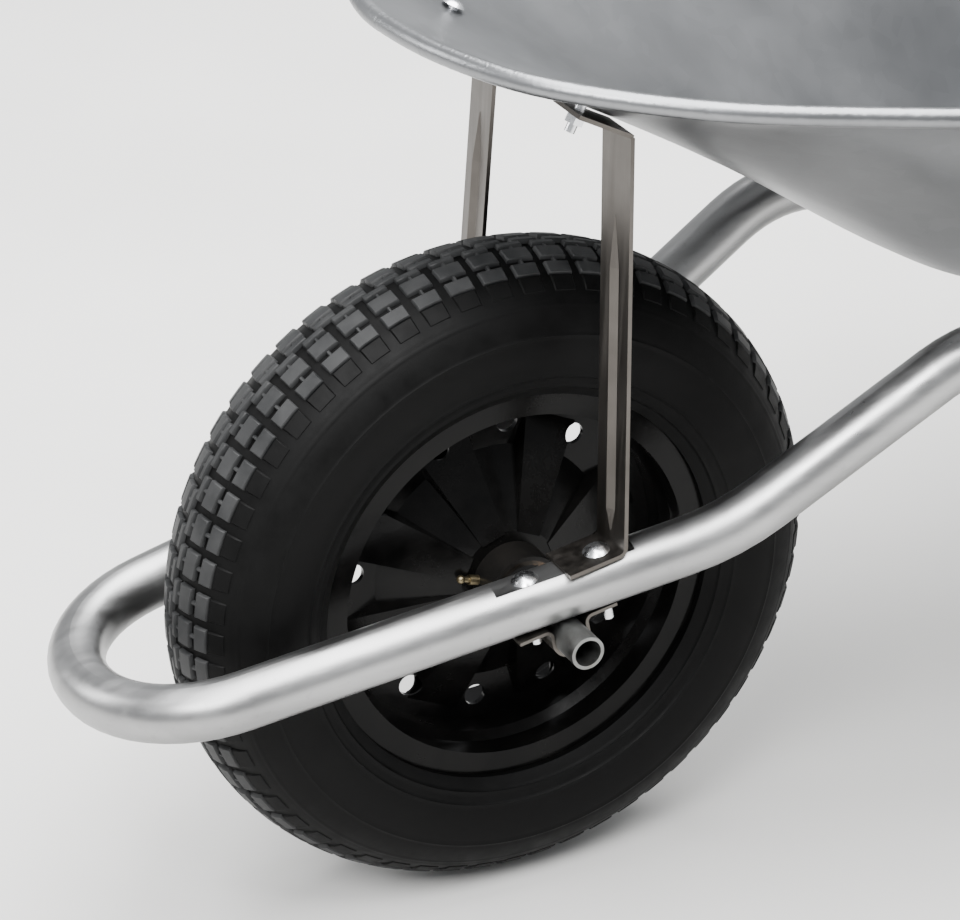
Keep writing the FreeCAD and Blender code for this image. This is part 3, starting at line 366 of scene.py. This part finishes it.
BLOCK_STEP = 0.004
BLOCK_CHAMFER = 0.0006
BLOCK_DRAFT = 0.0005
# How far a block's sides reach into the casing.
BLOCK_ROOT = 0.0006
# On a very narrow block the chamfer takes no more than this share of the half width.
CHAMFER_LIMIT = 0.4


def block_lines(low, high, ease, lean, scale):
    """Places of a block's grid lines one way: a drafted side, an edge, the top, an edge, a side."""
    steps = max(2, int(math.ceil((high - low) * scale / BLOCK_STEP)))
    top = np.linspace(low + ease, high - ease, steps)
    return np.concatenate([[low - lean, low], top, [high, high + lean]])


def block_patch(theta, half_angle, low, high, top):
    """One tread block: a raised patch that follows the casing, closed below."""
    low, high = np.array([low, high]) * np.pi / 180
    round_scale = SECTION_RADIUS + SECTION_HEIGHT * math.cos((low + high) / 2)
    round_ease = min(BLOCK_CHAMFER / round_scale, half_angle * CHAMFER_LIMIT)
    round_line = block_lines(-half_angle, half_angle, round_ease, BLOCK_DRAFT / round_scale, round_scale)
    cross_ease = BLOCK_CHAMFER / HALF_WIDTH
    cross_line = block_lines(low, high, cross_ease, BLOCK_DRAFT / HALF_WIDTH, HALF_WIDTH)
    rows, columns = len(cross_line), len(round_line)
    thetas, phis = np.meshgrid(round_line + theta, cross_line)
    row, column = np.indices((rows, columns))
    from_edge = np.minimum(np.minimum(row, rows - 1 - row), np.minimum(column, columns - 1 - column))
    root = groove_floor(np.degrees(phis)) - BLOCK_ROOT
    heights = np.where(from_edge == 0, root, np.where(from_edge == 1, top - BLOCK_CHAMFER, top))
    points = tyre_point(thetas, phis, heights).reshape(-1, 3)
    faces = []
    for r in range(rows - 1):
        for c in range(columns - 1):
            corner = r * columns + c
            faces.append((corner, corner + 1, corner + columns + 1, corner + columns))
    rim = list(range(columns)) + [r * columns + columns - 1 for r in range(1, rows)]
    rim += [(rows - 1) * columns + c for c in range(columns - 2, -1, -1)]
    rim += [r * columns for r in range(rows - 2, 0, -1)]
    faces.append(tuple(reversed(rim)))
    return points, faces


# Each block: half of its width round the wheel, its start and end across the tyre, in degrees, and
# the height of its top.
COLUMN_BLOCKS = (
    (2.08, 0.7, 5.3, 0.0),
    (2.30, 9.0, 20.3, 0.0),
    (2.18, 24.5, 34.4, -0.0002),
)
# The outermost lug, low and part of the sidewall.
SIDE_LUG = (2.05, 35.2, 47.6, -0.0008)
# Narrow bridges over the slots between the blocks.
COLUMN_BRIDGES = ((0.26, 5.2, 10.1, -0.0006), (0.26, 20.4, 25.7, -0.0006))


def casing_grid():
    """The casing's points and quads."""
    radii, widths = casing_section()
    turns = np.linspace(0, 2 * np.pi, PITCHES * STEPS_PER_PITCH, endpoint=False)
    points = np.stack([
        AXLE.x + np.outer(radii, np.cos(turns)),
        AXLE.y + np.outer(widths, np.ones_like(turns)),
        AXLE.z + np.outer(radii, np.sin(turns)),
    ], -1)
    return points.reshape(-1, 3), ring_faces(len(radii), len(turns))


def make_tyre():
    points, faces = casing_grid()
    vertices = [points]
    count = len(points)
    rubbers = [SIDEWALL] * len(faces)
    for side, offset in ROWS:
        for index in range(PITCHES):
            theta = 2 * math.pi * (index + offset) / PITCHES
            for block in COLUMN_BLOCKS + COLUMN_BRIDGES + (SIDE_LUG,):
                half, low, high, top = block
                points, quads = block_patch(theta, math.radians(half), low, high, top)
                rubbers.extend([SIDEWALL if block is SIDE_LUG else TREAD] * len(quads))
                if side < 0:
                    points = points * (1, -1, 1) + (0, 2 * AXLE.y, 0)
                    quads = [tuple(reversed(quad)) for quad in quads]
                vertices.append(points)
                faces.extend(tuple(count + vertex for vertex in quad) for quad in quads)
                count += len(points)
    mesh = bpy.data.meshes.new("tyre_with_tread")
    mesh.from_pydata(np.concatenate(vertices).tolist(), [], faces)
    mesh.materials.append(MATERIALS["tyre_rubber"])
    mesh.materials.append(TREAD_RUBBER_DUST_AND_SHEEN)
    mesh.polygons.foreach_set("material_index", np.array(rubbers, np.int32))
    mesh.validate()
    mesh.shade_smooth()
    mesh.set_sharp_from_angle(angle=math.radians(SHARP_EDGE))
    tyre = bpy.data.objects.new("tyre_tread", mesh)
    bpy.context.scene.collection.objects.link(tyre)
    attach(tyre, "wheel")
    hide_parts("tyre")


make_tyre()


# ---------------------------------------------------------------- floor, light and camera
FLOOR_REACH = 14.0


def make_floor():
    mesh = bpy.data.meshes.new("studio_floor")
    corners = [(x * FLOOR_REACH, y * FLOOR_REACH, 0) for x, y in ((-1, -1), (1, -1), (1, 1), (-1, 1))]
    mesh.from_pydata(corners, [], [(0, 1, 2, 3)])
    m = Material("studio_floor_pale", Roughness=0.85)
    m.colour(m.ramp(m.noise(3.0, 3.0, 0.5), (0.3, (0.50, 0.495, 0.485)), (0.7, (0.54, 0.535, 0.525))))
    mesh.materials.append(m.material)
    floor = bpy.data.objects.new("studio_floor", mesh)
    bpy.context.scene.collection.objects.link(floor)


def area_light(name, place, aim, width, height, power):
    data = bpy.data.lights.new(name, "AREA")
    data.shape = "RECTANGLE"
    data.size = width
    data.size_y = height
    data.energy = power
    lamp = bpy.data.objects.new(name, data)
    lamp.location = place
    lamp.rotation_mode = "QUATERNION"
    lamp.rotation_quaternion = (Vector(aim) - Vector(place)).to_track_quat("-Z", "Y")
    bpy.context.scene.collection.objects.link(lamp)


def studio_light():
    world = bpy.data.worlds.new("studio")
    bpy.context.scene.world = world
    world.use_nodes = True
    background = world.node_tree.nodes["Background"]
    background.inputs["Color"].default_value = (0.96, 0.98, 1.0, 1.0)
    background.inputs["Strength"].default_value = 0.8
    middle = (0.1, 0.0, 0.25)
    area_light("key_light", (2.6, 2.4, 3.4), middle, 1.6, 1.6, 270)
    area_light("top_light", (-0.2, 0.2, 3.4), middle, 4.6, 3.4, 780)
    area_light("side_light", (3.2, -1.6, 1.8), middle, 1.0, 1.6, 60)


CAMERA_FROM_AXLE = Vector((0.8967, 1.8376, 1.0856))
CAMERA_AZIMUTH = math.radians(154.14)
CAMERA_ELEVATION = math.radians(26.54)
CAMERA_ROLL = math.radians(-0.07)
CAMERA_LENS = 148.5


def make_camera():
    data = bpy.data.cameras.new("camera")
    data.sensor_width = 36.0
    data.lens = CAMERA_LENS
    data.clip_end = 100.0
    camera = bpy.data.objects.new("camera", data)
    camera.location = AXLE + CAMERA_FROM_AXLE
    level = math.cos(CAMERA_ELEVATION)
    ahead = Vector((
        -math.sin(CAMERA_AZIMUTH) * level, math.cos(CAMERA_AZIMUTH) * level, -math.sin(CAMERA_ELEVATION)
    ))
    camera.rotation_mode = "QUATERNION"
    camera.rotation_quaternion = ahead.to_track_quat("-Z", "Y") @ Quaternion((0, 0, 1), CAMERA_ROLL)
    bpy.context.scene.collection.objects.link(camera)
    bpy.context.scene.camera = camera


make_floor()
studio_light()
make_camera()
